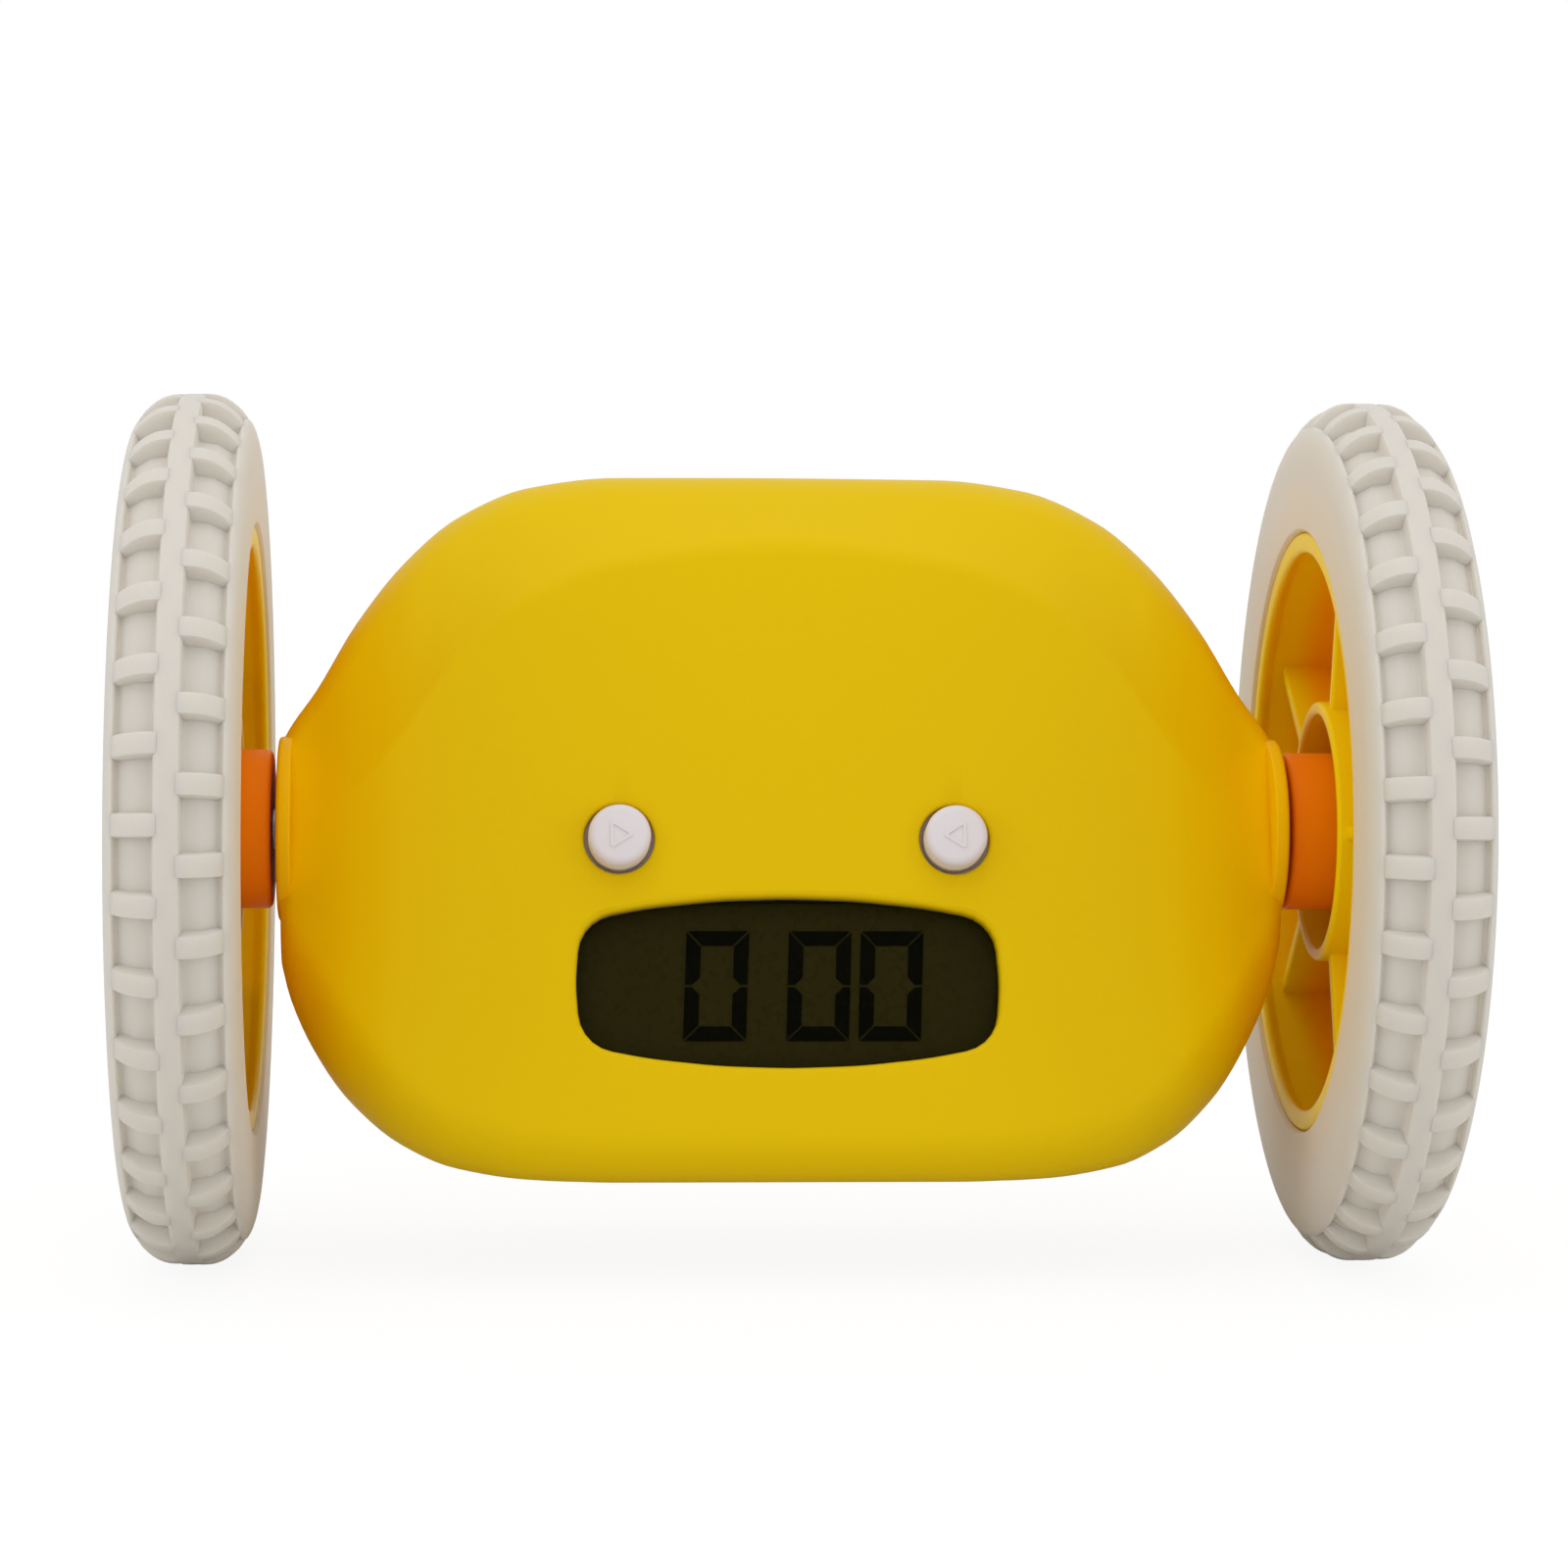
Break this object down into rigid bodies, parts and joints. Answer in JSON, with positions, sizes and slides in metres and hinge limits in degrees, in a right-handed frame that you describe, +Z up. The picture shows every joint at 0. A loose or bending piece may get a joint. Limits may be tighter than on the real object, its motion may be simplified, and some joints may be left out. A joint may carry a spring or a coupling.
{
  "type": "runaway alarm clock",
  "caption": "Alarm clock whose yellow body, with a digital display and two front buttons, hangs between big motor-driven rubber-tyred wheels, so that it can roll away while it rings.",
  "frame": {"origin": "on the floor, midway between the wheels and under the axle line", "axes": "+Z up, the face looks to -Y, +X from wheel to wheel, to the right of someone who looks at the face"},
  "size_m": [0.1328, 0.089, 0.089],
  "materials": {
    "shell_yellow": "satin",
    "cell_metal": "satin",
    "spring_metal": "satin",
    "window_clear": "gloss",
    "lcd_glass": "gloss",
    "black_plastic": "matte",
    "board_green": "satin",
    "button_white": "satin",
    "steel": "satin",
    "nylon_white": "matte",
    "brass": "satin",
    "sleeve_orange": "satin",
    "rim_yellow": "satin",
    "tyre_white": "matte"
  },
  "bodies": {
    "body": {"front_shell": "shell_yellow", "rear_shell": "shell_yellow", "bottom_cover": "shell_yellow", "front_lower_battery": "cell_metal", "front_upper_battery": "cell_metal", "rear_lower_battery": "cell_metal", "rear_upper_battery": "cell_metal", "battery_contacts": "spring_metal", "display_window": "window_clear", "lcd_panel": "lcd_glass", "lcd_contact_strip": "black_plastic", "lcd_frame": "black_plastic", "main_board": "board_green", "rear_board": "board_green", "speaker": "black_plastic", "slide_switch": "black_plastic", "time_set_switch": "black_plastic", "alarm_set_switch": "black_plastic", "case_screws": "steel", "left_button_switch": "black_plastic", "left_gear_frame": "nylon_white", "left_motor_can": "steel", "left_gear_pin": "steel", "left_shaft_bush": "brass", "right_button_switch": "black_plastic", "right_gear_frame": "nylon_white", "right_motor_can": "steel", "right_gear_pin": "steel", "right_shaft_bush": "brass"},
    "left_wheel": {"left_wheel_rim": "rim_yellow", "left_tyre": "tyre_white", "left_wheel_sleeve": "sleeve_orange", "left_wheel_shaft": "steel", "left_hub_cap": "rim_yellow", "left_wheel_screw": "steel", "left_output_gear": "nylon_white"},
    "left_compound": {"left_compound_gear": "nylon_white"},
    "left_rotor": {"left_motor_rotor": "steel", "left_motor_pinion": "brass"},
    "left_button": {"left_button": "button_white"},
    "right_wheel": {"right_wheel_rim": "rim_yellow", "right_tyre": "tyre_white", "right_wheel_sleeve": "sleeve_orange", "right_wheel_shaft": "steel", "right_hub_cap": "rim_yellow", "right_wheel_screw": "steel", "right_output_gear": "nylon_white"},
    "right_compound": {"right_compound_gear": "nylon_white"},
    "right_rotor": {"right_motor_rotor": "steel", "right_motor_pinion": "brass"},
    "right_button": {"right_button": "button_white"},
    "time_set_button": {"time_set_button": "button_white"},
    "alarm_set_button": {"alarm_set_button": "button_white"},
    "slide_knob": {"slide_knob": "black_plastic"},
    "battery_door": {"battery_door": "shell_yellow"}
  },
  "joints": [
    {"name": "left_wheel_spin", "type": "hinge", "parent": "body", "child": "left_wheel", "pos_m": [-0.0601, 0, 0.0445], "axis": [1, 0, 0], "continuous": true},
    {"name": "left_compound_spin", "type": "hinge", "parent": "body", "child": "left_compound", "pos_m": [-0.032, 0.00369, 0.05271], "axis": [1, 0, 0], "continuous": true},
    {"name": "left_rotor_spin", "type": "hinge", "parent": "body", "child": "left_rotor", "pos_m": [-0.017, 0.00461, 0.043], "axis": [1, 0, 0], "continuous": true},
    {"name": "right_wheel_spin", "type": "hinge", "parent": "body", "child": "right_wheel", "pos_m": [0.0601, 0, 0.0445], "axis": [1, 0, 0], "continuous": true},
    {"name": "right_compound_spin", "type": "hinge", "parent": "body", "child": "right_compound", "pos_m": [0.032, 0.00369, 0.05271], "axis": [1, 0, 0], "continuous": true},
    {"name": "right_rotor_spin", "type": "hinge", "parent": "body", "child": "right_rotor", "pos_m": [0.017, 0.00461, 0.043], "axis": [1, 0, 0], "continuous": true},
    {"name": "left_button_press", "type": "slide", "parent": "body", "child": "left_button", "axis": [0, 0.9613, -0.2756], "range_m": [0, 0.0006], "stiffness_N_per_m": 400, "springref_m": -0.0005},
    {"name": "right_button_press", "type": "slide", "parent": "body", "child": "right_button", "axis": [0, 0.9613, -0.2756], "range_m": [0, 0.0006], "stiffness_N_per_m": 400, "springref_m": -0.0005},
    {"name": "time_set_press", "type": "slide", "parent": "body", "child": "time_set_button", "axis": [0, -1, 0], "range_m": [0, 0.0006], "stiffness_N_per_m": 400, "springref_m": -0.0005},
    {"name": "alarm_set_press", "type": "slide", "parent": "body", "child": "alarm_set_button", "axis": [0, -1, 0], "range_m": [0, 0.0006], "stiffness_N_per_m": 400, "springref_m": -0.0005},
    {"name": "slide_switch_move", "type": "slide", "parent": "body", "child": "slide_knob", "axis": [1, 0, 0], "range_m": [0, 0.003]},
    {"name": "battery_door_lift", "type": "slide", "parent": "body", "child": "battery_door", "axis": [0, 0, -1], "range_m": [0, 0.0085]}
  ],
  "couplings": [
    {"joint": "left_compound_spin", "follows": "left_wheel_spin", "ratio": -2.6},
    {"joint": "left_rotor_spin", "follows": "left_wheel_spin", "ratio": 8.6667},
    {"joint": "right_compound_spin", "follows": "right_wheel_spin", "ratio": -2.6},
    {"joint": "right_rotor_spin", "follows": "right_wheel_spin", "ratio": 8.6667}
  ]
}
